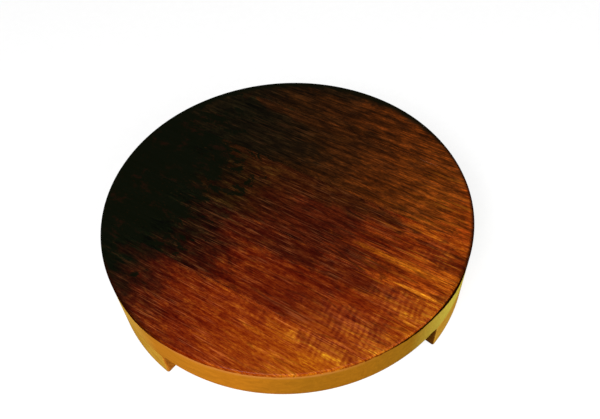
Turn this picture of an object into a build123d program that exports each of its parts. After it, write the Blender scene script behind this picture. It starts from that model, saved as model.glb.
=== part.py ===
from build123d import *
import os
from math import cos, radians, sin, sqrt

# A round rolling board for flatbread dough: edge-glued staves turned to a disc, on three arc legs.
# The board stands on Z = 0, with +Z up and the origin under its centre.
# +Y runs through the rear leg, and the staves run along grain_angle, measured from +X.
# Lengths are in millimetres and angles in degrees.

# Board
board_diameter = 230
board_thickness = 25
top_edge_radius = 1.5
lower_edge_radius = 3
grain_angle = -37
stave_width = 48
centre_stave_offset = 3

# Legs
leg_height = 21
leg_width = 16
leg_span_angle = 33
leg_corner_radius = 1.2
leg_foot_edge_radius = 0.8
right_leg_angle = -30
rear_leg_angle = 90
left_leg_angle = 210
gap_rounding_margin_angle = 0.4

# Dowels across the glued joints, their places as a share of half the joint's length
dowel_diameter = 8
dowel_length = 30
dowel_chamfer = 1
dowel_side_clearance = 0.05
dowel_end_gap = 1
dowel_place_share = 0.45
dowel_sides = {"left": -1, "right": 1}
flute_count = 12
flute_radius = 0.35

# Screws up through the legs, their places as a share of half the leg's span
screw_place_share = 0.35
screw_bite = 15
screw_clearance = 0.1
screw_end_gap = 1
counterbore_diameter = 9
counterbore_depth = 6
shank_diameter = 4
thread_core_diameter = 2.8
thread_pitch = 1.8
thread_length = 18
thread_ridge_shares = (0.15, 0.25, 0.4)
tip_length = 3
head_diameter = 8
head_height = 2.6
head_edge_radius = 1.5
recess_length = 4.4
recess_width = 0.9
recess_depth = 1.5

# Every cut that leaves a face runs past it by this much
overrun = 1

# Sizes worked out from those above
board_radius = board_diameter / 2
stave_count = round(board_diameter / stave_width)
joint_places = [
    centre_stave_offset + stave_width * (number - stave_count / 2) for number in range(1, stave_count)
]
stave_edges = [-board_radius, *joint_places, board_radius]
dowel_radius = dowel_diameter / 2
leg_angles = {"right": right_leg_angle, "rear": rear_leg_angle, "left": left_leg_angle}
gap_angle = 360 / len(leg_angles) - leg_span_angle
leg_middle_radius = board_radius - leg_width / 2
shank_radius = shank_diameter / 2
thread_core_radius = thread_core_diameter / 2
screw_length = leg_height - counterbore_depth + screw_bite
head_radius = head_diameter / 2

grain_direction = (cos(radians(grain_angle)), sin(radians(grain_angle)), 0)
across_direction = (-sin(radians(grain_angle)), cos(radians(grain_angle)), 0)

os.makedirs("parts", exist_ok=True)


def save(piece, name):
    """Label a finished piece and write it under its own name."""
    piece.label = name
    export_step(piece, f"parts/{name}.step")


def upright_plane(angle):
    """The half plane through the board's axis at this angle: its X is outward and its Y is up."""
    outward = (cos(radians(angle)), sin(radians(angle)), 0)
    sideways = (sin(radians(angle)), -cos(radians(angle)), 0)
    return Plane(origin=(0, 0, 0), x_dir=outward, z_dir=sideways)


def dowel_plane(joint_place, side):
    """A plane in a glued joint, centred on one of its dowels, square to that dowel."""
    along = side * dowel_place_share * sqrt(board_radius**2 - joint_place**2)
    x = along * grain_direction[0] + joint_place * across_direction[0]
    y = along * grain_direction[1] + joint_place * across_direction[1]
    return Plane(
        origin=(x, y, leg_height + board_thickness / 2),
        x_dir=grain_direction,
        z_dir=across_direction,
    )


def screw_angles(leg_angle):
    """The two directions from the board's centre in which a leg's screws stand."""
    step = screw_place_share * leg_span_angle / 2
    return [leg_angle - step, leg_angle + step]


def screw_points(leg_angle):
    """The two places in plan of a leg's screws, along the middle of the leg."""
    return [
        (leg_middle_radius * cos(radians(angle)), leg_middle_radius * sin(radians(angle)))
        for angle in screw_angles(leg_angle)
    ]


dowel_planes = {
    f"joint_{number}_{side_name}_dowel": dowel_plane(place, side)
    for number, place in enumerate(joint_places, start=1)
    for side_name, side in dowel_sides.items()
}

# The whole board, turned and drilled, from which each stave takes its slice
with BuildPart() as turned_board:
    with BuildSketch(Plane.XY.offset(leg_height)):
        Circle(board_radius)
    extrude(amount=board_thickness)
    fillet(turned_board.edges().group_by(Axis.Z)[-1], radius=top_edge_radius)

    # The lower edge is rounded where the fingers go, in the gaps between the legs
    for leg_angle in leg_angles.values():
        gap_start = leg_angle + leg_span_angle / 2 + gap_rounding_margin_angle
        with BuildSketch(upright_plane(gap_start)):
            with Locations((board_radius - lower_edge_radius, leg_height + lower_edge_radius)):
                Rectangle(
                    lower_edge_radius + overrun,
                    lower_edge_radius + overrun,
                    align=(Align.MIN, Align.MAX),
                )
                Circle(lower_edge_radius, mode=Mode.SUBTRACT)
        revolve(
            axis=Axis.Z,
            revolution_arc=gap_angle - 2 * gap_rounding_margin_angle,
            mode=Mode.SUBTRACT,
        )

    # Blind bores for the dowels, half in each of the two staves that meet
    for plane in dowel_planes.values():
        with BuildSketch(plane):
            Circle(dowel_radius + dowel_side_clearance)
        extrude(amount=dowel_length / 2 + dowel_end_gap, both=True, mode=Mode.SUBTRACT)

    # Blind bores for the screws
    for leg_angle in leg_angles.values():
        with BuildSketch(Plane.XY.offset(leg_height)):
            with Locations(*screw_points(leg_angle)):
                Circle(shank_radius + screw_clearance)
        extrude(amount=screw_bite + screw_end_gap, mode=Mode.SUBTRACT)

# Staves, numbered from the front: each is the board's slice between two glued joints
grain_plane = Plane(origin=(0, 0, leg_height), x_dir=grain_direction, z_dir=(0, 0, 1))
for number, (near_edge, far_edge) in enumerate(zip(stave_edges, stave_edges[1:]), start=1):
    with BuildPart() as stave:
        add(turned_board.part)
        with BuildSketch(grain_plane):
            with Locations((0, (near_edge + far_edge) / 2)):
                Rectangle(board_diameter, far_edge - near_edge)
        extrude(amount=board_thickness, mode=Mode.INTERSECT)
    save(stave.part, f"stave_{number}")

# Dowels: fluted beech pins with chamfered ends
for name, plane in dowel_planes.items():
    with BuildPart() as dowel:
        with BuildSketch(plane):
            Circle(dowel_radius)
        extrude(amount=dowel_length / 2, both=True)
        chamfer(dowel.edges().filter_by(GeomType.CIRCLE), length=dowel_chamfer)
        with BuildSketch(plane):
            with PolarLocations(dowel_radius, flute_count):
                Circle(flute_radius)
        extrude(amount=dowel_length / 2, both=True, mode=Mode.SUBTRACT)
    save(dowel.part, name)

# Legs: blocks cut from a ring of the board's own radius, their ends along its radii
for leg_name, leg_angle in leg_angles.items():
    leg_start = leg_angle - leg_span_angle / 2
    with BuildPart() as leg:
        with BuildSketch():
            with BuildLine():
                outer_arc = CenterArc((0, 0), board_radius, leg_start, leg_span_angle)
                inner_arc = CenterArc((0, 0), board_radius - leg_width, leg_start, leg_span_angle)
                Line(outer_arc @ 0, inner_arc @ 0)
                Line(outer_arc @ 1, inner_arc @ 1)
            make_face()
        extrude(amount=leg_height)
        fillet(leg.edges().filter_by(Axis.Z), radius=leg_corner_radius)
        fillet(leg.faces().sort_by(Axis.Z)[0].edges(), radius=leg_foot_edge_radius)
        for x, y in screw_points(leg_angle):
            with Locations(Plane(origin=(x, y, 0), z_dir=(0, 0, -1))):
                CounterBoreHole(
                    radius=shank_radius + screw_clearance,
                    counter_bore_radius=counterbore_diameter / 2,
                    counter_bore_depth=counterbore_depth,
                )
    save(leg.part, f"{leg_name}_leg")

# The screw's outline from its head to its tip, with the underside of the head at height 0
thread_start = screw_length - tip_length - thread_length
thread_points = []
for turn in range(int(thread_length / thread_pitch)):
    turn_height = thread_start + turn * thread_pitch
    rise, fall, foot = (turn_height + share * thread_pitch for share in thread_ridge_shares)
    thread_points += [
        (thread_core_radius, turn_height),
        (shank_radius, rise),
        (shank_radius, fall),
        (thread_core_radius, foot),
    ]
screw_outline = [
    (0, -head_height),
    (head_radius, -head_height),
    (head_radius, 0),
    (shank_radius, 0),
    (shank_radius, thread_start - thread_pitch / 2),
    *thread_points,
    (thread_core_radius, screw_length - tip_length),
    (0, screw_length),
]

# Screws: pan heads with a cross recess, driven up through the legs into the board
for leg_name, leg_angle in leg_angles.items():
    for number, (x, y) in enumerate(screw_points(leg_angle), start=1):
        seat = Plane(origin=(x, y, counterbore_depth), x_dir=(1, 0, 0), z_dir=(0, -1, 0))
        with BuildPart() as screw:
            with BuildSketch(seat) as outline:
                with BuildLine():
                    Polyline(*screw_outline, close=True)
                make_face()
                fillet(
                    outline.vertices().group_by(Axis.X)[-1].sort_by(Axis.Y)[0],
                    radius=head_edge_radius,
                )
            revolve(axis=Axis((x, y, 0), (0, 0, 1)))
            with BuildSketch(Plane(origin=(x, y, counterbore_depth - head_height))):
                Rectangle(recess_length, recess_width)
                Rectangle(recess_width, recess_length)
            extrude(amount=recess_depth, mode=Mode.SUBTRACT)
        save(screw.part, f"{leg_name}_leg_screw_{number}")
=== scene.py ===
from math import pi, radians

import bmesh
import bpy
import numpy as np
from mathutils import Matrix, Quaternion, Vector
from mathutils.geometry import delaunay_2d_cdt


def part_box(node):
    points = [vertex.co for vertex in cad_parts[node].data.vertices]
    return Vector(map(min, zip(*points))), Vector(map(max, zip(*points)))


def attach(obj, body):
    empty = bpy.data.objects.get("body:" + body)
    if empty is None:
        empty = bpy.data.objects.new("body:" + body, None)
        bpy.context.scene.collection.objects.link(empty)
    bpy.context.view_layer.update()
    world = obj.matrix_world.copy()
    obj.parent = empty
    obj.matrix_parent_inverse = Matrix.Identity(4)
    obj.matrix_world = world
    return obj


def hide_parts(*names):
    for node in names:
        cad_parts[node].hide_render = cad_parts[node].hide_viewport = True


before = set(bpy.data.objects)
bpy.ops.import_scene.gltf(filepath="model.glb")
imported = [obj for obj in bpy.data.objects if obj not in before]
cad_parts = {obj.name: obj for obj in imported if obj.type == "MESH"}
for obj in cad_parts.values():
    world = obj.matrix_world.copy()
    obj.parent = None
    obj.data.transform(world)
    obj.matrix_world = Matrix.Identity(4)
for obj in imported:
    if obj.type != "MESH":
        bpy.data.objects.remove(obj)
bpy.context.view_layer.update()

MM = 0.001

# Board
BOARD_RADIUS = 0.115
BOARD_UNDERSIDE = 0.021
BOARD_TOP = 0.046
GRAIN_ANGLE = radians(-37)
STAVE_EDGES = (-0.115, -0.069, -0.021, 0.027, 0.075, 0.115)
TOP_ROUNDING = 1.5 * MM
LOWER_ROUNDING = 3 * MM
SEAM_EASING = 0.2 * MM
UNDERSIDE_MARGIN = 3.5 * MM
TOP_MARGIN = 4 * MM
GLUE_LINE_DEPTH = 0.08 * MM
GLUE_LINE_WIDTH = 0.3 * MM
RIM_STEP = 1.3 * MM
RIM_ROUNDS = 12
TOP_STEPS = 24
TOP_INSET_SHARE = 0.006

# Angles past a leg's end between which the lower rounding grows, and the waves in the top rounding round the
# board: size as a share of it, count and phase
LOWER_EDGE_RUN_OUT = (radians(0.3), radians(2.4))
TOP_EDGE_WAVES = ((0.09, 3, 1), (0.05, 8, 0))

# Legs
LEG_ANGLES = {"rear": radians(90), "right": radians(-30), "left": radians(210)}
LEG_HALF_SPAN = radians(16.5)
LEG_INNER_RADIUS = 0.099
LEG_CORNER_RADIUS = 1.2 * MM
LEG_FOOT_ROUNDING = 0.8 * MM
LEG_TOP_EASING = 0.15 * MM
FLAT_MARGIN = 0.2 * MM
COUNTERBORE_RADIUS = 4.5 * MM
COUNTERBORE_DEPTH = 6 * MM

# Points along half of a leg's outline and up its side
OUTER_STEPS = 26
INNER_STEPS = 24
CORNER_STEPS = 9
END_STEPS = 10
FOOT_STEPS = 7
FACE_STEPS = 8

# Bores
SCREW_BORE_RADIUS = 2.1 * MM
SCREW_BORE_DEPTH = 16 * MM
DOWEL_BORE_RADIUS = 4.05 * MM
DOWEL_BORE_DEPTH = 16 * MM
BORE_STEPS = 32

# Meshes: points closer than the merge distance become one, shorter edges than the least go, and edges between
# faces that meet more steeply than the sharp angle stay sharp
MERGE_DISTANCE = 2e-6
LEAST_EDGE = 1e-6
SHARP_ANGLE = radians(35)

# How Blender's triangulation is asked to keep only what an outline encloses, and its tolerance in millimetres
INSIDE_ONLY = 1
TRIANGLE_TOLERANCE = 1e-5

# Camera: where it stands, the point that it looks at, its turn about its own axis and its lens
CAMERA_PLACE = Vector((-0.00551, -0.26303, 0.36326))
CAMERA_AIM = Vector((0.00793, -0.00606, 0.046))
CAMERA_ROLL = radians(-3.145)
CAMERA_LENS_MM = 39.72
CAMERA_SENSOR_MM = 36

# Lamps: place, width and watts, and the point that they all face
LAMPS = {
    "key lamp": ((-0.6, -0.85, 1.1), 0.6, 22),
    "front lamp": ((0.3, -1.2, 1.1), 1.0, 12),
    "right lamp": ((1.0, -0.5, 0.5), 0.7, 6),
}
LAMP_AIM = Vector((0, 0, 0.03))
FLOOR_HALF_WIDTH = 4

ALONG = np.array([np.cos(GRAIN_ANGLE), np.sin(GRAIN_ANGLE), 0])
ACROSS = np.array([-np.sin(GRAIN_ANGLE), np.cos(GRAIN_ANGLE), 0])
UP = np.array([0, 0, 1])


# ---------------------------------------------------------------- surfaces


def grid_patch(points, closed=False):
    """A grid of points, rows by columns, with a quad between each four neighbours, and round to the first
    column again where it is closed."""
    rows, columns = points.shape[:2]
    row_start = np.arange(rows - 1)[:, None] * columns
    column = np.arange(columns if closed else columns - 1)[None, :]
    after = (column + 1) % columns
    quads = np.stack(
        [row_start + column, row_start + after, row_start + columns + after, row_start + columns + column], -1
    )
    return points.reshape(-1, 3), quads.reshape(-1, 4)


def ray(angle):
    """The unit direction at an angle, in a plane's own two directions."""
    return np.stack([np.cos(angle), np.sin(angle)], -1)


def circle(centre, radius):
    """Points at equal angles round a centre, in a plane's own two directions."""
    return centre + radius * ray(np.arange(BORE_STEPS) * 2 * pi / BORE_STEPS)


def flat_patch(outline, centres, bore_radius, origin, first, second):
    """A flat face inside an outline and outside its bores: constrained triangles between the outline's points
    and the bores' circles, each point at origin + a * first + b * second."""
    loops = [outline] + [circle(centre, bore_radius) for centre in centres]
    starts = np.cumsum([0] + [len(loop) for loop in loops])
    edges = [
        (start + step, start + (step + 1) % len(loop))
        for start, loop in zip(starts.tolist(), loops)
        for step in range(len(loop))
    ]
    points = [Vector(point) for point in (np.concatenate(loops) / MM).tolist()]
    made = delaunay_2d_cdt(points, edges, [], INSIDE_ONLY, TRIANGLE_TOLERANCE)
    flat = np.array([tuple(point) for point in made[0]]) * MM
    triangles = np.array(made[2])
    middles = flat[triangles].mean(axis=1)
    outside = np.ones(len(triangles), bool)
    for centre in centres:
        outside &= np.hypot(*(middles - centre).T) > bore_radius
    return origin + flat[:, :1] * first + flat[:, 1:] * second, triangles[outside]


def bore_patch(centre, section, origin, first, second, inward):
    """The wall of a bore: its section, (radius, depth) pairs, carried round its axis."""
    rings = [
        origin + ring[:, :1] * first + ring[:, 1:] * second + depth * inward
        for ring, depth in ((circle(centre, radius), depth) for radius, depth in section)
    ]
    return grid_patch(np.stack(rings), closed=True)


def joined_piece(name, patches, replaced):
    """One closed mesh from its patches, in place of a solid: their shared points are merged, its faces turned
    outwards, and its edges kept sharp where two faces meet steeply."""
    starts = np.cumsum([0] + [len(points) for points, _ in patches])
    points = np.concatenate([points for points, _ in patches])
    faces = [face for start, (_, part) in zip(starts, patches) for face in (part + start).tolist()]
    mesh = bpy.data.meshes.new(name)
    mesh.from_pydata(points.tolist(), [], faces)
    built = bmesh.new()
    built.from_mesh(mesh)
    bmesh.ops.remove_doubles(built, verts=built.verts, dist=MERGE_DISTANCE)
    bmesh.ops.dissolve_degenerate(built, edges=built.edges, dist=LEAST_EDGE)
    bmesh.ops.recalc_face_normals(built, faces=built.faces)
    built.to_mesh(mesh)
    built.free()
    mesh.shade_smooth()
    mesh.set_sharp_from_angle(angle=SHARP_ANGLE)
    piece = bpy.data.objects.new(name, mesh)
    bpy.context.scene.collection.objects.link(piece)
    weighting = piece.modifiers.new("flat faces stay flat", "WEIGHTED_NORMAL")
    weighting.keep_sharp = True
    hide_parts(replaced)
    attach(piece, "root")
    return piece


def smooth_step(value, low, high):
    """0 below low, 1 above high, and the cubic 3s^2 - 2s^3 between."""
    share = np.clip((value - low) / (high - low), 0, 1)
    return share * share * (3 - 2 * share)


# ---------------------------------------------------------------- staves


def lower_rounding(angle):
    """Radius of the board's lower edge: a hair over each leg, growing to the full rounding in the gaps within
    about two degrees."""
    from_legs = [
        np.abs((angle + GRAIN_ANGLE - leg_angle + pi) % (2 * pi) - pi) - LEG_HALF_SPAN
        for leg_angle in LEG_ANGLES.values()
    ]
    share = smooth_step(np.min(from_legs, axis=0), *LOWER_EDGE_RUN_OUT)
    return SEAM_EASING + (LOWER_ROUNDING - SEAM_EASING) * share


def top_rounding(angle):
    """Radius of the board's top edge, eased by hand: up to a seventh more or less, in two slow waves."""
    share = 1
    for size, count, phase in TOP_EDGE_WAVES:
        share = share + size * np.sin(count * angle + phase)
    return TOP_ROUNDING * share


# The rim's section: the turns of its two quarter circles, and the steps up its face
LOWER_TURN = np.radians(np.linspace(-90, 0, 8))
TOP_TURN = np.radians(np.linspace(0, 90, 10))
FACE_SHARE = np.array([0.2, 0.4, 0.6, 0.8])
SECTION_SIZE = len(LOWER_TURN) + len(FACE_SHARE) + len(TOP_TURN) + 2


def rim_section(angle, notch):
    """Radius and height of the rim's section, from the underside round to the top: a level margin, a quarter
    circle, an upright face, a quarter circle and a level margin. The notch sinks the face at a glue line."""
    lower = slice(1, 1 + len(LOWER_TURN))
    face = slice(lower.stop, lower.stop + len(FACE_SHARE))
    top = slice(face.stop, face.stop + len(TOP_TURN))
    low_radius = lower_rounding(angle[:, lower])
    top_radius = top_rounding(angle[:, top])
    face_low = BOARD_UNDERSIDE + lower_rounding(angle[:, face])
    face_high = BOARD_TOP - top_rounding(angle[:, face])
    radius = np.full(angle.shape, BOARD_RADIUS)
    height = np.full(angle.shape, BOARD_UNDERSIDE)
    radius[:, 0] = BOARD_RADIUS - UNDERSIDE_MARGIN
    radius[:, lower] -= low_radius * (1 - np.cos(LOWER_TURN)) + notch * np.cos(LOWER_TURN)
    height[:, lower] += low_radius * (1 + np.sin(LOWER_TURN))
    radius[:, face] -= notch
    height[:, face] = face_low + (face_high - face_low) * FACE_SHARE
    radius[:, top] -= top_radius * (1 - np.cos(TOP_TURN)) + notch * np.cos(TOP_TURN)
    height[:, top] = BOARD_TOP - top_radius * (1 - np.sin(TOP_TURN)) - notch * np.sin(TOP_TURN)
    radius[:, -1] = BOARD_RADIUS - TOP_MARGIN
    height[:, -1] = BOARD_TOP - notch[:, 0]
    return radius, height


def right_end(place):
    """A joint's right end: the angle from the grain at which it meets a circle of any radius."""
    return lambda radius: np.arcsin(place / radius)


def left_end(place, turn=0):
    """The same for its left end, with a turn added."""
    return lambda radius: pi - np.arcsin(place / radius) + turn


def rim_strip(start, end):
    """The rim from one glue line to the next: its section carried round the board's axis, its ends on the
    joints. The angle at a joint depends on the radius and the radius on the angle, so both are worked out in
    rounds. Returns the points along, across and up, columns by section, and how far each column is sunk."""
    length = BOARD_RADIUS * (end(BOARD_RADIUS) - start(BOARD_RADIUS))
    inset = GLUE_LINE_WIDTH / length
    share = np.concatenate([[0], np.linspace(inset, 1 - inset, int(length / RIM_STEP)), [1]])[:, None]
    notch = GLUE_LINE_DEPTH * ((share == 0) | (share == 1))
    radius = np.full((len(share), SECTION_SIZE), BOARD_RADIUS)
    for _ in range(RIM_ROUNDS):
        angle = start(radius) + (end(radius) - start(radius)) * share
        radius, height = rim_section(angle, notch)
    angle = start(radius) + (end(radius) - start(radius)) * share
    return np.stack([radius * np.cos(angle), radius * np.sin(angle), height], -1), notch


def ruled_top(one_edge, other_edge, notch, notch_first):
    """The level top between two edges: straight lines from each point of one to its match on the other,
    sunk by a hair along its glue lines."""
    inner = np.linspace(TOP_INSET_SHARE, 1 - TOP_INSET_SHARE, TOP_STEPS)
    share = np.concatenate([[0], inner, [1]])
    points = one_edge[:, None] * (1 - share[:, None]) + other_edge[:, None] * share[:, None]
    sunk = np.broadcast_to(notch, points.shape[:2]).copy()
    if notch_first:
        sunk[:, 0] = GLUE_LINE_DEPTH
    points[..., 2] = BOARD_TOP - sunk
    return points


def in_place(points):
    """Points given along, across and up, turned to the grain's direction in plan."""
    return points[..., :1] * ALONG + points[..., 1:2] * ACROSS + points[..., 2:] * UP


def middle_of(node):
    """Middle of a node's box, as along, across and up."""
    middle = np.array([list(corner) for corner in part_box(node)]).mean(axis=0)
    return np.array([middle @ ALONG, middle @ ACROSS, middle[2]])


screw_middles = [middle_of(name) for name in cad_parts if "_screw_" in name]
dowel_middles = [middle_of(name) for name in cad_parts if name.endswith("_dowel")]


def joint_patches(outline, place, inward):
    """A stave's glued face with its two dowel bores, each closed at its end."""
    centres = [middle[[0, 2]] for middle in dowel_middles if abs(middle[1] - place) < MM]
    plane = (place * ACROSS, ALONG, UP)
    section = ((DOWEL_BORE_RADIUS, 0), (DOWEL_BORE_RADIUS, DOWEL_BORE_DEPTH), (0, DOWEL_BORE_DEPTH))
    face = flat_patch(outline, centres, DOWEL_BORE_RADIUS, *plane)
    return [face] + [bore_patch(centre, section, *plane, inward * ACROSS) for centre in centres]


def underside_patches(outline, near, far):
    """A stave's underside with the bores of the screws that it holds."""
    centres = [middle[:2] for middle in screw_middles if near < middle[1] < far]
    plane = (BOARD_UNDERSIDE * UP, ALONG, ACROSS)
    section = ((SCREW_BORE_RADIUS, 0), (SCREW_BORE_RADIUS, SCREW_BORE_DEPTH), (0, SCREW_BORE_DEPTH))
    face = flat_patch(outline, centres, SCREW_BORE_RADIUS, *plane)
    return [face] + [bore_patch(centre, section, *plane, UP) for centre in centres]


def outer_stave(number, near, far):
    """The first or last stave: one strip of rim, and a top ruled from its only joint to the rim."""
    if number == 1:
        joint, inward = far, -1
        start, end = left_end(far, -2 * pi), right_end(far)
    else:
        joint, inward = near, 1
        start, end = right_end(near), left_end(near)
    rim, notch = rim_strip(start, end)
    edge = rim[:, -1]
    share = np.linspace(0, 1, len(edge))[:, None]
    joint_edge = edge[0] * (1 - share) + edge[-1] * share
    top = ruled_top(joint_edge, edge, notch, True)
    outline = np.concatenate([rim[0], top[1:-1, 0], rim[-1, ::-1]])[:, [0, 2]]
    return (
        [grid_patch(in_place(rim)), grid_patch(in_place(top))]
        + joint_patches(outline, joint, inward)
        + underside_patches(rim[:, 0, :2], near, far)
    )


def inner_stave(near, far):
    """A stave between two joints: a strip of rim at each end, and a top ruled from one to the other."""
    right, right_notch = rim_strip(right_end(near), right_end(far))
    left, _ = rim_strip(left_end(far), left_end(near))
    top = ruled_top(left[::-1, -1], right[:, -1], right_notch, False)
    near_outline = np.concatenate([right[0], top[0, -2:0:-1], left[-1, ::-1]])[:, [0, 2]]
    far_outline = np.concatenate([right[-1], top[-1, -2:0:-1], left[0, ::-1]])[:, [0, 2]]
    underside = np.concatenate([right[:, 0, :2], left[:, 0, :2]])
    return (
        [grid_patch(in_place(part)) for part in (right, left, top)]
        + joint_patches(near_outline, near, 1)
        + joint_patches(far_outline, far, -1)
        + underside_patches(underside, near, far)
    )


# ---------------------------------------------------------------- legs


def leg_half_outline():
    """Half the outline of a leg whose middle lies along its first direction, with the way outwards at each
    point: the outer arc, a corner, the radial end, a corner and the inner arc."""
    outer_slant = np.arcsin(LEG_CORNER_RADIUS / (BOARD_RADIUS - LEG_CORNER_RADIUS))
    inner_slant = np.arcsin(LEG_CORNER_RADIUS / (LEG_INNER_RADIUS + LEG_CORNER_RADIUS))
    end_way = LEG_HALF_SPAN + pi / 2
    outer_way = ray(np.linspace(0, LEG_HALF_SPAN - outer_slant, OUTER_STEPS))
    outer_corner = ray(np.linspace(LEG_HALF_SPAN - outer_slant, end_way, CORNER_STEPS))[1:]
    inner_corner = ray(np.linspace(end_way, LEG_HALF_SPAN - inner_slant + pi, CORNER_STEPS))
    inner_way = ray(np.linspace(LEG_HALF_SPAN - inner_slant, 0, INNER_STEPS) + pi)[1:]
    outer_points = (BOARD_RADIUS - LEG_CORNER_RADIUS) * ray(LEG_HALF_SPAN - outer_slant)
    outer_points = outer_points + LEG_CORNER_RADIUS * outer_corner
    inner_points = (LEG_INNER_RADIUS + LEG_CORNER_RADIUS) * ray(LEG_HALF_SPAN - inner_slant)
    inner_points = inner_points + LEG_CORNER_RADIUS * inner_corner
    share = np.linspace(0, 1, END_STEPS)[1:-1, None]
    end_points = outer_points[-1] * (1 - share) + inner_points[0] * share
    end_ways = np.repeat(ray(end_way)[None], len(share), 0)
    inner_arc = -LEG_INNER_RADIUS * inner_way
    points = np.concatenate([BOARD_RADIUS * outer_way, outer_points, end_points, inner_points, inner_arc])
    ways = np.concatenate([outer_way, outer_corner, end_ways, inner_corner, inner_way])
    return points, ways


def leg_outline():
    """The whole outline of a leg, with the way outwards at each point: its half and the same mirrored."""
    mirror = np.array([1, -1])
    return [np.concatenate([half, half[-2:0:-1] * mirror]) for half in leg_half_outline()]


def leg_section():
    """The insets and heights of a leg's section: a rounded foot edge, an upright face and a hair of easing at
    the top, with a level margin at either end."""
    foot_turn = np.radians(np.linspace(0, 90, FOOT_STEPS))
    face_top = BOARD_UNDERSIDE - LEG_TOP_EASING
    face = np.linspace(LEG_FOOT_ROUNDING, face_top, FACE_STEPS)[1:-1]
    inset = [
        [LEG_FOOT_ROUNDING + FLAT_MARGIN],
        LEG_FOOT_ROUNDING * (1 - np.sin(foot_turn)),
        np.zeros(len(face)),
        [0, LEG_TOP_EASING, LEG_TOP_EASING + FLAT_MARGIN],
    ]
    height = [
        [0],
        LEG_FOOT_ROUNDING * (1 - np.cos(foot_turn)),
        face,
        [face_top, BOARD_UNDERSIDE, BOARD_UNDERSIDE],
    ]
    return np.concatenate(inset), np.concatenate(height)


def leg_bore_centres(first, second):
    """The places of a leg's own two screws, in its two directions."""
    screws = [middle[0] * ALONG + middle[1] * ACROSS for middle in screw_middles]
    centres = [np.array([screw @ first, screw @ second]) for screw in screws]
    return [centre for centre in centres if abs(np.arctan2(centre[1], centre[0])) < LEG_HALF_SPAN]


def leg_patches(leg_angle):
    """An arc block: its outline carried up its section, with two bores that widen for the screw heads."""
    outline, ways = leg_outline()
    inset, height = leg_section()
    first = np.array([np.cos(leg_angle), np.sin(leg_angle), 0])
    second = np.array([-np.sin(leg_angle), np.cos(leg_angle), 0])
    rings = outline[None] - inset[:, None, None] * ways[None]
    side = rings[..., :1] * first + rings[..., 1:] * second + height[:, None, None] * UP
    centres = leg_bore_centres(first, second)
    section = (
        (COUNTERBORE_RADIUS, 0),
        (COUNTERBORE_RADIUS, COUNTERBORE_DEPTH),
        (SCREW_BORE_RADIUS, COUNTERBORE_DEPTH),
        (SCREW_BORE_RADIUS, BOARD_UNDERSIDE),
    )
    return [
        grid_patch(side, closed=True),
        flat_patch(rings[0], centres, COUNTERBORE_RADIUS, 0 * UP, first, second),
        flat_patch(rings[-1], centres, SCREW_BORE_RADIUS, BOARD_UNDERSIDE * UP, first, second),
    ] + [bore_patch(centre, section, 0 * UP, first, second, UP) for centre in centres]


# ---------------------------------------------------------------- finishes


def tint(red, green, blue):
    """A colour as the eye reads it, 0 to 255, turned to the linear values that a shader takes."""
    value = np.array([red, green, blue]) / 255
    linear = np.where(value > 0.04045, ((value + 0.055) / 1.055) ** 2.4, value / 12.92)
    return (*linear.tolist(), 1)


# Colours of the top, from the darkest to the palest: its stains, with painted light among them, the broad
# sheen in the palest, the shade on its edge and the glints in its pores
BLACKENED = tint(7, 10, 2)
SOOT = tint(17, 14, 4)
DARK_UMBER = tint(24, 15, 4)
BURNT_RED = tint(27, 12, 4)
EDGE_SHADE = tint(31, 7, 1)
SMOKED_RED = tint(36, 12, 3)
UMBER = tint(42, 20, 3)
BARK_BROWN = tint(58, 26, 4)
OXBLOOD = tint(66, 18, 3)
TAN_BARK = tint(80, 34, 4)
MAHOGANY = tint(98, 29, 3)
COCOA = tint(104, 46, 6)
RUSSET = tint(116, 38, 4)
CHESTNUT = tint(132, 50, 5)
AMBER_BROWN = tint(145, 62, 6)
RUSSET_GOLD = tint(165, 84, 8)
GLINT_TAN = tint(184, 112, 62)
DEEP_GOLD = tint(190, 107, 20)

# Bare wood of the rim, from left to right, in painted light: paler at the left and the right, darker in
# front; and where each colour lies from the left, 0, to the right, 1
PALE_STRAW = tint(214, 172, 72)
ORANGE_HONEY = tint(188, 119, 30)
BRIGHT_HONEY = tint(187, 114, 24)
DARK_HONEY = tint(157, 100, 19)
OLIVE_HONEY = tint(149, 103, 22)
YELLOW_STRAW = tint(208, 186, 70)
PEACH_HIGHLIGHT = tint(206, 130, 62)
RIM_LIGHT_STOPS = [
    (0.05, PALE_STRAW),
    (0.15, ORANGE_HONEY),
    (0.33, BRIGHT_HONEY),
    (0.5, DARK_HONEY),
    (0.64, DARK_HONEY),
    (0.76, OLIVE_HONEY),
    (0.88, YELLOW_STRAW),
]

# Pairs of shades that the grain runs between, the darker first
LEG_SHADES = (tint(184, 131, 38), tint(207, 158, 56))
END_GRAIN_SHADES = (tint(160, 88, 22), tint(190, 116, 34))
BEECH_SHADES = (tint(206, 168, 122), tint(226, 192, 150))
BEECH_FLECK = tint(158, 112, 74)
ZINC_SHADES = (tint(176, 172, 158), tint(206, 204, 196))
FLOOR_SHADES = (tint(136, 136, 136), tint(140, 140, 140))
WHITE = tint(255, 255, 255)

# Finishes are measured in millimetres
RADIUS_MM = BOARD_RADIUS / MM
UNDERSIDE_MM = BOARD_UNDERSIDE / MM
TOP_MM = BOARD_TOP / MM

# The two ways in plan that a distance can be measured in, besides along and across the grain
RIGHT, BACK = 0, 1

# The range that a noise seldom leaves, and how far each seed moves it on, in cells
NOISE_RANGE = (0.3, 0.7)
SEED_SHIFT = (7.3, 3.1, 5.7)

# Names of two of the shader's sockets, and the mirror sheen of the lacquered top
SHEEN = "Specular IOR Level"
METALLIC = "Metallic"
TOP_SHEEN = 0.15

# The power by which green and blue fall faster than red where a ripple or a furrow darkens the wood
REDDENING = 1.9

# Distance between the ripples, how far along and across count towards the right of the board, and how far
# behind its centre the dark band on its edge starts to widen and is at its widest
RIPPLE_SPACING_MM = 3.2
SIDE_SHARES = (0.75, 0.66)
BAND_WIDENS = (20, 80)
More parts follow.
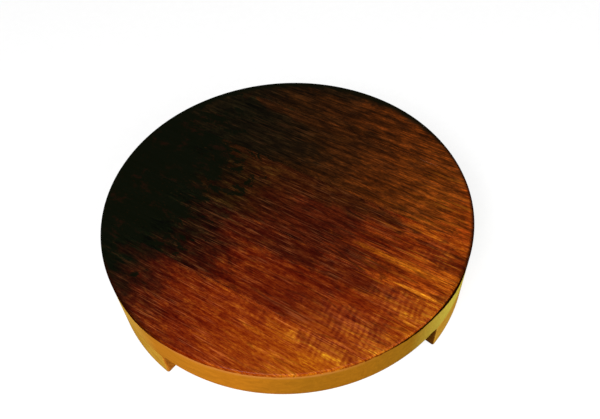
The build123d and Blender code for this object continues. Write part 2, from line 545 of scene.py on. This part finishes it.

# Degrees from a leg's middle between which its end grain begins, and how light each leg's end grain is
# painted: lighter on the rear and left legs, in painted shade on the right leg
END_GRAIN_START = (16.1, 16.4)
END_LIGHT_AND_SHADE = {"rear": 1.25, "right": 0.25, "left": 1.25}

# Glow that lifts the floor to white in the camera's view
FLOOR_LIFT = 0.78


class Finish:
    """A material in the making. Its pattern is measured in millimetres from the board's centre on the floor,
    with the first direction turned to the way that the wood's grain runs in plan."""

    def __init__(self, name, grain_way=0):
        self.material = bpy.data.materials.new(name)
        self.material.use_nodes = True
        self.tree = self.material.node_tree
        self.tree.nodes.clear()
        place = self.add("ShaderNodeTexCoord").outputs["Object"]
        turned = {"Vector": place, "Rotation": (0, 0, -grain_way), "Scale": (1 / MM, 1 / MM, 1 / MM)}
        self.place = self.add("ShaderNodeMapping", turned).outputs[0]
        axes = self.add("ShaderNodeSeparateXYZ", {0: self.place}).outputs
        self.along, self.across, self.height = axes[0], axes[1], axes[2]

    def add(self, kind, inputs=None, **settings):
        """A node with its settings, and each socket given a value or joined to another node's output."""
        made = self.tree.nodes.new(kind)
        for setting, value in settings.items():
            setattr(made, setting, value)
        for socket, value in (inputs or {}).items():
            if isinstance(value, bpy.types.NodeSocket):
                self.tree.links.new(value, made.inputs[socket])
            else:
                made.inputs[socket].default_value = value
        return made

    def math(self, operation, first, second=0.0):
        """One step of arithmetic on one or two values."""
        return self.add("ShaderNodeMath", {0: first, 1: second}, operation=operation).outputs[0]

    def plus(self, first, second):
        """Two values added."""
        return self.math("ADD", first, second)

    def minus(self, first, second):
        """The first value less the second."""
        return self.math("SUBTRACT", first, second)

    def times(self, first, second):
        """Two values multiplied."""
        return self.math("MULTIPLY", first, second)

    def level(self, value, low, high, low_result=0, high_result=1, smooth=True):
        """The value carried from one range to another, held at its ends."""
        inputs = {0: value, 1: low, 2: high, 3: low_result, 4: high_result}
        kind = "SMOOTHSTEP" if smooth else "LINEAR"
        return self.add("ShaderNodeMapRange", inputs, interpolation_type=kind, clamp=True).outputs[0]

    def spread(self, noise, low_result=0, high_result=1, smooth=True):
        """A noise carried from its usual range to another."""
        return self.level(noise, *NOISE_RANGE, low_result, high_result, smooth)

    def towards(self, way):
        """Distance from the board's centre in plan, to the right or to the back."""
        return self.plus(self.times(self.along, ALONG[way]), self.times(self.across, ACROSS[way]))

    def length(self, vector):
        """The length of a vector."""
        return self.add("ShaderNodeVectorMath", {0: vector}, operation="LENGTH").outputs["Value"]

    def noise(self, cell, seed=0, detail=2, roughness=0.5, distortion=0):
        """A noise in cells of these three lengths, along, across and up, and its own for each seed."""
        cells = {
            "Vector": self.place,
            "Scale": [1 / length for length in cell],
            "Location": [seed * shift for shift in SEED_SHIFT],
        }
        inputs = {
            "Vector": self.add("ShaderNodeMapping", cells).outputs[0],
            "Scale": 1,
            "Detail": detail,
            "Roughness": roughness,
            "Distortion": distortion,
        }
        return self.add("ShaderNodeTexNoise", inputs).outputs[0]

    def ramp(self, value, stops):
        """Colours at places from 0 to 1, blended between."""
        made = self.add("ShaderNodeValToRGB", {0: value})
        elements = made.color_ramp.elements
        for spot, _ in stops[1:-1]:
            elements.new(spot)
        for element, (spot, colour) in zip(elements, stops):
            element.position = spot
            element.color = colour
        return made.outputs[0]

    def mix(self, share, first, second):
        """Two colours blended: the first where the share is 0, the second where it is 1."""
        return self.add("ShaderNodeMix", {0: share, 6: first, 7: second}, data_type="RGBA").outputs[2]

    def scaled(self, colour, factor):
        """A colour made lighter or darker by a factor."""
        return self.add("ShaderNodeVectorMath", {0: colour, "Scale": factor}, operation="SCALE").outputs[0]

    def toned(self, colour, factor, turn):
        """A colour made lighter or darker by a factor in red, and by a power of it in green and blue."""
        cooler = self.math("POWER", factor, turn)
        factors = self.add("ShaderNodeCombineXYZ", {0: factor, 1: cooler, 2: cooler}).outputs[0]
        return self.add("ShaderNodeVectorMath", {0: colour, 1: factors}, operation="MULTIPLY").outputs[0]

    def shade(self, colour, roughness, relief, depth, constants):
        """The finished shader, its relief raised by up to depth in millimetres."""
        bump = self.add("ShaderNodeBump", {"Height": relief, "Distance": depth * MM, "Strength": 1})
        inputs = {"Base Color": colour, "Roughness": roughness, "Normal": bump.outputs[0], **constants}
        shader = self.add("ShaderNodeBsdfPrincipled", inputs)
        self.add("ShaderNodeOutputMaterial", {"Surface": shader.outputs[0]})
        return self.material


class StaveFinish(Finish):
    """One stave's stained top over its bare rim and underside. Each layer takes the colour so far and returns
    it with that layer on top."""

    def __init__(self, name, look):
        super().__init__(name, GRAIN_ANGLE)
        self.look = look
        self.cloud = self.pattern(1, (12, 7, 9), 4, 0.65, 0.3)
        self.streaks = self.pattern(2, (34, 2.6, 3), 3, 0.6, 0.2)
        self.lines = self.pattern(3, (13, 0.7, 1), 2, 0.6)
        self.flecks = self.pattern(4, (6.5, 1.4, 1.6), 4, 0.7)
        self.pores = self.pattern(11, (2.2, 0.6, 0.8), 1, 0.5)
        wander = self.spread(self.pattern(0, (18, 8, 9), 5, 0.65), -13, 13, False)
        self.share = self.level(self.plus(self.along, wander), -RADIUS_MM, RADIUS_MM, 0, 1, False)
        along_share, across_share = SIDE_SHARES
        self.side = self.plus(self.times(self.along, along_share), self.times(self.across, across_share))

    def pattern(self, step, cell, *settings):
        """A noise of the stave's own, this many steps on from its seed."""
        return self.noise(cell, self.look["seed"] + step, *settings)

    def zone(self, along, across, long, wide, amount):
        """The amount inside an ellipse on the board's plan and 0 outside, its edge broken up by clouds."""
        cells = {
            "Vector": self.place,
            "Scale": (1 / long, 1 / wide, 0),
            "Location": (-along / long, -across / wide, 0),
        }
        away = self.length(self.add("ShaderNodeMapping", cells).outputs[0])
        ragged = self.plus(away, self.spread(self.cloud, -0.45, 0.45, False))
        return self.level(ragged, 0.55, 1.15, amount, 0)

    def stained(self):
        """The stains along the grain, paler toward the right where a broad painted sheen is laid into them,
        and clouds of lighter and darker stain over them.
        """
        colour = self.ramp(self.share, [((spot + 1) / 2, stain) for spot, stain in self.look["stops"]])
        for *ellipse, stain, strength in self.look["patches"]:
            colour = self.mix(self.zone(*ellipse, strength), colour, stain)
        return colour

    def grained(self, colour):
        """Mottling, soft streaks, fine lines, flecks and pores along the grain. The lighter ones are the more
        golden and the darker ones the redder, by powers that change from the left end to the right."""
        streaky = self.look["streaky"]
        grain = self.spread(self.cloud, 1 - 0.78 * streaky, 1 + 0.9 * streaky)
        for pattern, low, high, dark, light in (
            (self.streaks, 0.34, 0.66, 1 - streaky, 1 + 0.8 * streaky),
            (self.lines, 0.32, 0.68, 1 - 0.7 * streaky, 1 + 0.6 * streaky),
            (self.flecks, 0.34, 0.66, 0.7, 1.28),
            (self.pores, 0.3, 0.7, 0.76, 1.22),
        ):
            grain = self.times(grain, self.level(pattern, low, high, dark, light))
        grain = self.math("POWER", grain, self.level(self.share, 0.3, 0.75, 1.1, self.look["evened"]))
        return self.toned(colour, grain, self.level(self.share, 0.2, 0.36, 0.95, self.look["golden"]))

    def gilded(self, colour):
        """Golden streaks at the right end: partly where the stain is thin, partly a painted sheen."""
        gilt = self.level(self.pattern(12, (26, 1.5, 2), 3, 0.55), 0.52, 0.68)
        gilt = self.times(gilt, self.level(self.share, 0.68, 0.9, 0, self.look["gilded"]))
        return self.mix(gilt, colour, DEEP_GOLD)

    def ringed(self, colour):
        """Growth rings: thin dark contour lines of a slow swell that is drawn out along the grain."""
        swell = self.pattern(5, (130, 17, 17), 2, 0.5, 0.1)
        waves = self.math("SINE", self.times(swell, 80))
        ring = self.times(self.level(waves, 0.35, 1), self.level(self.streaks, 0.36, 0.6, 0.2, 1))
        return self.scaled(colour, self.level(ring, 0, 1, 1, 1 - self.look["rings"]))

    def ripple_bands(self):
        """Short soft bands square to the grain, swaying and broken up by a noise."""
        sway = self.level(self.pattern(6, (26, 12, 12), 1), 0.25, 0.75, -2.5, 2.5, False)
        slant = self.plus(self.times(self.across, 0.25), sway)
        waves = self.math("SINE", self.plus(self.times(self.along, 2 * pi / RIPPLE_SPACING_MM), slant))
        figure = self.spread(self.pattern(7, (3, 9, 8), 1, 0.4), -1, 1, False)
        return self.plus(self.times(waves, 0.6), figure)

    def rippled(self, colour):
        """Ripple figure, where the fibres wave."""
        light = self.level(self.ripple_bands(), -1.1, 1.1, 0.78, 1.25)
        crest = self.toned(self.mix(0.03, colour, GLINT_TAN), light, REDDENING)
        for *ellipse, strength in self.look["ripples"]:
            colour = self.mix(self.zone(*ellipse, strength), colour, crest)
        return colour

    def soaked(self):
        """How much black stain has soaked in: all of it at the left, then blotches that thin out."""
        reach = self.look["soaked_to"]
        blots = self.level(self.pattern(8, (21, 11, 11), 6, 0.7, 0.5), 0.36, 0.64, 0, 1, False)
        least = self.level(self.along, (reach - 0.85) * RADIUS_MM, reach * RADIUS_MM, 1.25, -0.15, False)
        return self.level(self.minus(blots, least), -0.1, 0.07, 0.95, 0)

    def blackened(self, colour, soaked):
        """The black stain, burnt red in places, with brown pores."""
        soot = self.mix(self.level(self.cloud, 0.54, 0.7), BLACKENED, BURNT_RED)
        return self.mix(soaked, colour, self.mix(self.level(self.pores, 0.66, 0.76, 0, 0.4), soot, UMBER))

    def worn_and_glinting(self, colour, soaked):
        """Fibres along the grain: darker furrows from wear, and pale hairlines beside them that are painted
        glints in the pores, gathered here and there, few in the black."""
        fibres = self.pattern(9, (17, 0.62, 1), 1, 0.4, 0.5)
        gathered = self.level(self.pattern(10, (24, 11, 9), 3), 0.36, 0.56)
        fibre_and_glint_share = self.times(gathered, self.level(soaked, 0, 0.4, 1, 0))
        fibre_and_glint_share = self.times(fibre_and_glint_share, self.level(self.share, 0.26, 0.42, 0.12, self.look["worn_and_glinting"]))
        furrow = self.times(self.level(fibres, 0.32, 0.46, 0.55, 0), fibre_and_glint_share)
        colour = self.mix(furrow, colour, self.toned(colour, 0.52, REDDENING))
        # Painted glints: pale hairlines along the pores
        hairline = self.times(self.level(fibres, 0.56, 0.72), fibre_and_glint_share)
        return self.mix(hairline, colour, self.mix(0.32, self.scaled(colour, 1.6), GLINT_TAN))

    def edge_shade_band(self, rearward):
        """Where painted shade lies along the top's edge: a wide band at the back, a thin one at the sides."""
        plan = self.add("ShaderNodeCombineXYZ", {0: self.along, 1: self.across}).outputs[0]
        inwards = self.minus(RADIUS_MM, self.length(plan))
        full_to = self.level(rearward, *BAND_WIDENS, 0.8, 2.6)
        fades_by = self.level(rearward, *BAND_WIDENS, 2.8, 7.5)
        at_left = self.level(self.side, -100, -70, 0.75, 0)
        at_left = self.times(at_left, self.level(self.across, -98, -86, 1, 0))
        strength = self.math("MAXIMUM", self.level(self.across, -25, 25, 0, 0.94), at_left)
        return self.times(self.level(inwards, full_to, fades_by, 1, 0), strength)

    def edge_shaded(self, colour):
        """Painted shade on the top's edge: the rounded edge darker at the right, and the band along it, black
        at the back.
        """
        # Painted shade on the rounded edge at the right
        rounded = self.level(self.height, TOP_MM - 1.1, TOP_MM - 0.4, 1, 0)
        colour = self.mix(self.times(rounded, self.level(self.side, 4, 50)), colour, EDGE_SHADE)
        rearward = self.towards(BACK)
        # The band's painted shade: dark red at the front, black at the back
        stain = self.mix(self.level(rearward, 0, 60), EDGE_SHADE, BLACKENED)
        return self.mix(self.edge_shade_band(rearward), colour, stain)

    def stain_reach(self):
        """1 where the stain covers the wood and 0 below its ragged end, which dips down the rim at the left
        and the right."""
        ragged = self.spread(self.pattern(9, (9, 3, 3), 3), -0.4, 0.4, False)
        dip = self.plus(self.level(self.side, 35, 60, 1.7, 3.2), self.level(self.side, -100, -68, 4, 0))
        dip = self.plus(dip, self.level(self.side, 62, 92, 0, 6))
        below = self.minus(TOP_MM, self.minus(self.height, ragged))
        return self.level(self.minus(dip, below), -0.5, 0.5)

    def bare(self):
        """Bare wood of the rim and the underside, with painted light and shade: straw at the left and the
        right, honey at the front, darker under the board's lower edge in painted shade, and a peach painted
        highlight just below the stain at the left."""
        rightward = self.towards(RIGHT)
        # Painted light: the rim's tone follows how the light falls round it, paler at the sides
        colour = self.ramp(self.level(rightward, -RADIUS_MM, RADIUS_MM, 0, 1, False), RIM_LIGHT_STOPS)
        colour = self.scaled(colour, self.spread(self.streaks, 0.92, 1.07))
        colour = self.scaled(colour, self.spread(self.flecks, 0.95, 1.05))
        # Painted shade: darker at the board's lower edge and on its underside
        colour = self.scaled(colour, self.level(self.height, UNDERSIDE_MM - 1, UNDERSIDE_MM + 5, 0.85, 1))
        # Painted highlight: a peach band just below the stain at the left
        highlight_band = self.level(self.height, TOP_MM - 5, TOP_MM - 2.5, 0, 0.55)
        return self.mix(self.times(highlight_band, self.level(rightward, 0, 50, 1, 0)), colour, PEACH_HIGHLIGHT)

    def finished(self, sheen):
        """Every layer in its order, over the bare wood, with the relief of the grain."""
        soaked = self.soaked()
        figured = self.rippled(self.ringed(self.gilded(self.grained(self.stained()))))
        stained = self.edge_shaded(self.worn_and_glinting(self.blackened(figured, soaked), soaked))
        colour = self.mix(self.stain_reach(), self.bare(), stained)
        relief = self.plus(self.times(self.lines, 0.7), self.times(self.flecks, 0.3))
        return self.shade(colour, self.spread(self.streaks, 0.33, 0.42), relief, 0.02, {SHEEN: sheen})


def leg_finish(name, leg_angle, seed, end_light_and_shade):
    """Bare wood, its grain running round the leg, with end grain at both ends in the leg's own painted light
    and shade, and darker at the foot in painted shade.
    """
    wood = Finish(name, leg_angle + pi / 2)
    streaks = wood.noise((40, 1.4, 1.4), seed, 3, 0.6, 0.15)
    colour = wood.mix(wood.spread(streaks), *LEG_SHADES)

    # Degrees from the leg's middle, which lies a quarter turn before the way that its grain runs
    turns = wood.add("ShaderNodeTexGradient", {0: wood.place}, gradient_type="RADIAL").outputs[1]
    off_middle = wood.times(wood.math("ABSOLUTE", wood.minus(turns, 0.25)), 360)

    # Painted light and shade on the end grain: lighter on the rear and left legs, nearly black on the right
    end_colour = wood.scaled(wood.mix(wood.spread(streaks), *END_GRAIN_SHADES), end_light_and_shade)
    colour = wood.mix(wood.level(off_middle, *END_GRAIN_START), colour, end_colour)
    # Painted shade at the foot, next to the floor
    colour = wood.scaled(colour, wood.level(wood.height, 0, 2.5, 0.6, 1))
    return wood.shade(colour, wood.spread(streaks, 0.38, 0.5), wood.times(streaks, 0.5), 0.03, {SHEEN: 0})


def dowel_finish():
    """Bare beech with short dark flecks along the dowel."""
    wood = Finish("bare beech", GRAIN_ANGLE + pi / 2)
    streaks = wood.noise((14, 0.6, 0.6), 0, 3)
    flecks = wood.level(wood.noise((2.2, 0.25, 0.25), 3, 1), 0.62, 0.7, 0, 0.5)
    colour = wood.mix(flecks, wood.mix(wood.spread(streaks), *BEECH_SHADES), BEECH_FLECK)
    return wood.shade(colour, wood.spread(streaks, 0.55, 0.7), streaks, 0.04, {SHEEN: 0.3})


def screw_finish():
    """Zinc plated steel, its sheen broken by fine scuffs."""
    steel = Finish("zinc plated steel")
    scuffs = steel.noise((0.5, 0.5, 0.5), 0, 4, 0.6)
    cloud = steel.noise((3, 3, 3), 2, 3)
    colour = steel.mix(steel.level(cloud, 0.35, 0.65), *ZINC_SHADES)
    return steel.shade(colour, steel.spread(scuffs, 0.25, 0.48), scuffs, 0.01, {METALLIC: 1})


def floor_finish():
    """A white floor that keeps the board's shadow. To the camera alone it is lifted to the room's white."""
    paint = Finish("white floor")
    colour = paint.mix(paint.spread(paint.noise((6, 6, 6), 0, 3)), *FLOOR_SHADES)
    rays = paint.add("ShaderNodeLightPath").outputs["Is Camera Ray"]
    lift = paint.add("ShaderNodeEmission", {0: WHITE, 1: FLOOR_LIFT}).outputs[0]
    plain = paint.add("ShaderNodeBsdfDiffuse", {0: colour}).outputs[0]
    lifted = paint.add("ShaderNodeAddShader", {0: plain, 1: lift}).outputs[0]
    seen = paint.add("ShaderNodeMixShader", {0: rays, 1: plain, 2: lifted}).outputs[0]
    paint.add("ShaderNodeOutputMaterial", {"Surface": seen})
    return paint.material


# ---------------------------------------------------------------- looks

# The look of each stave, numbered from the front. Spots run along the grain from -1, at the board's left
# edge, to 1, at its right.
#   seed       where its noises start
#   streaky    contrast of its mottling, streaks and lines
#   evened     power of the grain's contrast at the right: less of it shows below 1, and more above
#   golden     how far the lighter grain turns golden and the darker red, away from the left end
#   stops      its stains, each at its spot; the paler ones toward the right hold a painted broad sheen
#   soaked_to  the spot where the black stain's blotches end
#   worn, rings, gilded   strength of the darker fibres and the pale painted glints, the growth rings and the golden streaks with their painted sheen
#   patches    clouds of stain: along, across, half length and half width in millimetres, stain and strength
#   ripples    where the ripple figure shows: the same, without the stain
STAVE_LOOKS = {
    1: dict(
        seed=11,
        streaky=0.26,
        evened=0.65,
        golden=2.15,
        stops=[
            (-1, BLACKENED),
            (-0.55, BLACKENED),
            (-0.42, SMOKED_RED),
            (-0.3, OXBLOOD),
            (-0.15, MAHOGANY),
            (0.02, RUSSET),
            (0.2, CHESTNUT),
            (0.4, AMBER_BROWN),
            (0.62, RUSSET_GOLD),
            (1, RUSSET_GOLD),
        ],
        soaked_to=-0.22,
        worn_and_glinting=0.75,
        rings=0.25,
        gilded=0.2,
        patches=[
            (38, -101, 34, 7, CHESTNUT, 0.5),
            (78, -72.5, 26, 4.5, RUSSET, 0.7),
            (24, -72, 22, 4, CHESTNUT, 0.5),
        ],
        ripples=[(20, -74, 22, 7, 0.4), (72, -74, 36, 9, 0.9)],
    ),
    2: dict(
        seed=23,
        streaky=0.34,
        evened=0.75,
        golden=2.1,
        stops=[
            (-1, BLACKENED),
            (-0.48, BLACKENED),
            (-0.28, SMOKED_RED),
            (-0.12, OXBLOOD),
            (0.02, MAHOGANY),
            (0.45, MAHOGANY),
            (0.62, RUSSET),
            (0.82, CHESTNUT),
            (1, RUSSET_GOLD),
        ],
        soaked_to=-0.06,
        worn_and_glinting=0.55,
        rings=0.35,
        gilded=0.3,
        patches=[
            (14, -27.5, 43, 11, OXBLOOD, 0.95),
            (60, -27, 24, 11, OXBLOOD, 0.6),
            (80, -63, 34, 8, AMBER_BROWN, 0.6),
            (72, -67, 32, 4, CHESTNUT, 0.3),
            (88, -50, 9, 4, MAHOGANY, 0.5),
            (92, -65, 7, 4, DEEP_GOLD, 0.4),
        ],
        ripples=[(76, -55, 32, 13, 1.0), (96, -29, 24, 11, 0.9)],
    ),
    3: dict(
        seed=31,
        streaky=0.36,
        evened=1.0,
        golden=1.5,
        stops=[
            (-1, BLACKENED),
            (-0.6, BLACKENED),
            (-0.25, UMBER),
            (0.05, OXBLOOD),
            (0.35, OXBLOOD),
            (0.55, MAHOGANY),
            (0.8, CHESTNUT),
            (1, AMBER_BROWN),
        ],
        soaked_to=0.0,
        worn_and_glinting=0.5,
        rings=0.45,
        gilded=0.5,
        patches=[
            (10, 21, 75, 11, BARK_BROWN, 0.75),
            (85, 10, 36, 6, MAHOGANY, 0.8),
            (84, -4.8, 40, 2.4, RUSSET_GOLD, 0.5),
            (96, -12, 24, 3.2, CHESTNUT, 0.7),
            (98, -18.2, 18, 1.1, DEEP_GOLD, 0.9),
            (58, -15, 24, 6, OXBLOOD, 0.6),
            (94, 24, 24, 4, AMBER_BROWN, 0.6),
            (68, 15, 46, 1.2, OXBLOOD, 0.7),
            (46, -9.6, 44, 1.6, OXBLOOD, 0.7),
            (28, -18, 22, 5, OXBLOOD, 0.6),
        ],
        ripples=[(96, 12, 10, 14, 0.5)],
    ),
    4: dict(
        seed=43,
        streaky=0.42,
        evened=1.15,
        golden=1.0,
        stops=[
            (-1, DARK_UMBER),
            (-0.6, SOOT),
            (-0.35, DARK_UMBER),
            (-0.1, UMBER),
            (0.15, BARK_BROWN),
            (0.4, TAN_BARK),
            (0.7, COCOA),
            (1, CHESTNUT),
        ],
        soaked_to=-0.35,
        worn_and_glinting=0.2,
        rings=0.35,
        gilded=0.3,
        patches=[(-25, 71, 60, 5, BARK_BROWN, 0.6), (-30, 44, 36, 14, DARK_UMBER, 0.7)],
        ripples=[],
    ),
    5: dict(
        seed=57,
        streaky=0.5,
        evened=1.15,
        golden=0.95,
        stops=[
            (-1, SOOT),
            (-0.6, DARK_UMBER),
            (-0.35, UMBER),
            (-0.05, BARK_BROWN),
            (0.4, TAN_BARK),
            (1, COCOA),
        ],
        soaked_to=-0.6,
        worn_and_glinting=0.2,
        rings=0.4,
        gilded=0.1,
        patches=[
            (-40, 108, 52, 11, DARK_UMBER, 0.8),
            (25, 114, 60, 9, UMBER, 0.6),
            (-8, 79.5, 50, 2.2, UMBER, 0.7),
        ],
        ripples=[],
    ),
}


# ---------------------------------------------------------------- making


def make_staves():
    """The staves, each with a glossy stained top, and a bare rim and underside without mirror sheen."""
    last = len(STAVE_EDGES) - 1
    for number, (near, far) in enumerate(zip(STAVE_EDGES, STAVE_EDGES[1:]), start=1):
        patches = outer_stave(number, near, far) if number in (1, last) else inner_stave(near, far)
        piece = joined_piece(f"turned_stave_{number}", patches, f"stave_{number}")
        for name, sheen in (("stained top", TOP_SHEEN), ("bare rim", 0)):
            finish = StaveFinish(f"{name} {number}", STAVE_LOOKS[number])
            piece.data.materials.append(finish.finished(sheen))
        middles = np.empty(3 * len(piece.data.polygons))
        piece.data.polygons.foreach_get("center", middles)
        is_rim = middles[2::3] < BOARD_TOP - 0.1 * TOP_ROUNDING
        piece.data.polygons.foreach_set("material_index", is_rim.astype(int))


def make_legs():
    """The three legs, each with its own run of grain."""
    for seed, (name, leg_angle) in enumerate(LEG_ANGLES.items(), start=3):
        piece = joined_piece(f"cut_{name}_leg", leg_patches(leg_angle), f"{name}_leg")
        piece.data.materials.append(leg_finish(f"{name} leg wood", leg_angle, seed, END_LIGHT_AND_SHADE[name]))


def finish_fixings():
    """The dowels and the screws keep their solids' own meshes and get their materials."""
    beech = dowel_finish()
    zinc = screw_finish()
    for name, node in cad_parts.items():
        if name.endswith("_dowel"):
            node.material_slots[0].material = beech
        if "_screw_" in name:
            node.material_slots[0].material = zinc


def make_floor():
    """The floor, which belongs to the picture and not to the board."""
    size = FLOOR_HALF_WIDTH
    corners = [(-size, -size, 0), (size, -size, 0), (size, size, 0), (-size, size, 0)]
    mesh = bpy.data.meshes.new("floor")
    mesh.from_pydata(corners, [], [(0, 1, 2, 3)])
    floor = bpy.data.objects.new("floor", mesh)
    bpy.context.scene.collection.objects.link(floor)
    mesh.materials.append(floor_finish())


def add_lamp(name, place, size, watts):
    """A soft square lamp that faces the board."""
    data = bpy.data.lights.new(name, "AREA")
    data.size = size
    data.energy = watts
    lamp = bpy.data.objects.new(name, data)
    lamp.location = place
    lamp.rotation_mode = "QUATERNION"
    lamp.rotation_quaternion = (LAMP_AIM - Vector(place)).to_track_quat("-Z", "Y")
    bpy.context.scene.collection.objects.link(lamp)


def make_room():
    """A dim even light from all round. To the camera alone the room is white."""
    world = bpy.data.worlds.new("pale room")
    world.use_nodes = True
    tree = world.node_tree
    room = tree.nodes["Background"]
    seen = tree.nodes.new("ShaderNodeBackground")
    for background, grey, strength in ((room, 0.5, 0.1), (seen, 1, 1)):
        background.inputs[0].default_value = (grey, grey, grey, 1)
        background.inputs[1].default_value = strength
    rays = tree.nodes.new("ShaderNodeLightPath")
    choice = tree.nodes.new("ShaderNodeMixShader")
    tree.links.new(rays.outputs["Is Camera Ray"], choice.inputs[0])
    tree.links.new(room.outputs[0], choice.inputs[1])
    tree.links.new(seen.outputs[0], choice.inputs[2])
    tree.links.new(choice.outputs[0], tree.nodes["World Output"].inputs[0])
    bpy.context.scene.world = world


def make_camera():
    """The photograph's view: a plain lens, set by its place, its aim and its roll."""
    data = bpy.data.cameras.new("camera")
    data.lens = CAMERA_LENS_MM
    data.sensor_width = CAMERA_SENSOR_MM
    data.sensor_fit = "HORIZONTAL"
    camera = bpy.data.objects.new("camera", data)
    facing = (CAMERA_AIM - CAMERA_PLACE).to_track_quat("-Z", "Y")
    camera.rotation_mode = "QUATERNION"
    camera.rotation_quaternion = facing @ Quaternion((0, 0, 1), CAMERA_ROLL)
    camera.location = CAMERA_PLACE
    bpy.context.scene.collection.objects.link(camera)
    bpy.context.scene.camera = camera


make_camera()
make_floor()
for lamp_name, lamp_settings in LAMPS.items():
    add_lamp(lamp_name, *lamp_settings)
make_room()
make_staves()
make_legs()
finish_fixings()
bpy.context.scene.view_settings.view_transform = "Standard"
